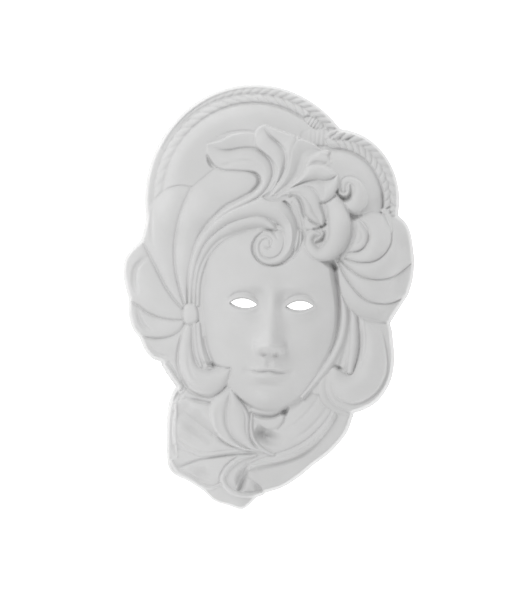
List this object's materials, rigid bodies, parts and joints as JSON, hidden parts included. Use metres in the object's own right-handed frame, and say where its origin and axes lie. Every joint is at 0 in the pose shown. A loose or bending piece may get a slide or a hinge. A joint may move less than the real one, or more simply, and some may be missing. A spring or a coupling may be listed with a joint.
{
  "type": "carnival mask",
  "caption": "Decorative wall-size carnival mask in unglazed white ceramic: calm face with open eyes, plaited hat brims, leaves, hair curls and a folded collar, hollow behind.",
  "frame": {"origin": "centre of the object's box, at the plane of the back rim the mask lies on", "axes": "+Y towards the top of the hat, +X towards the side with the curls and the bun, +Z out of the face, up as the mask lies on its back rim"},
  "size_m": [0.2224, 0.3238, 0.0656],
  "materials": {
    "bisque": "unglazed matte white"
  },
  "bodies": {
    "root": {"mask": "bisque"}
  },
  "joints": []
}
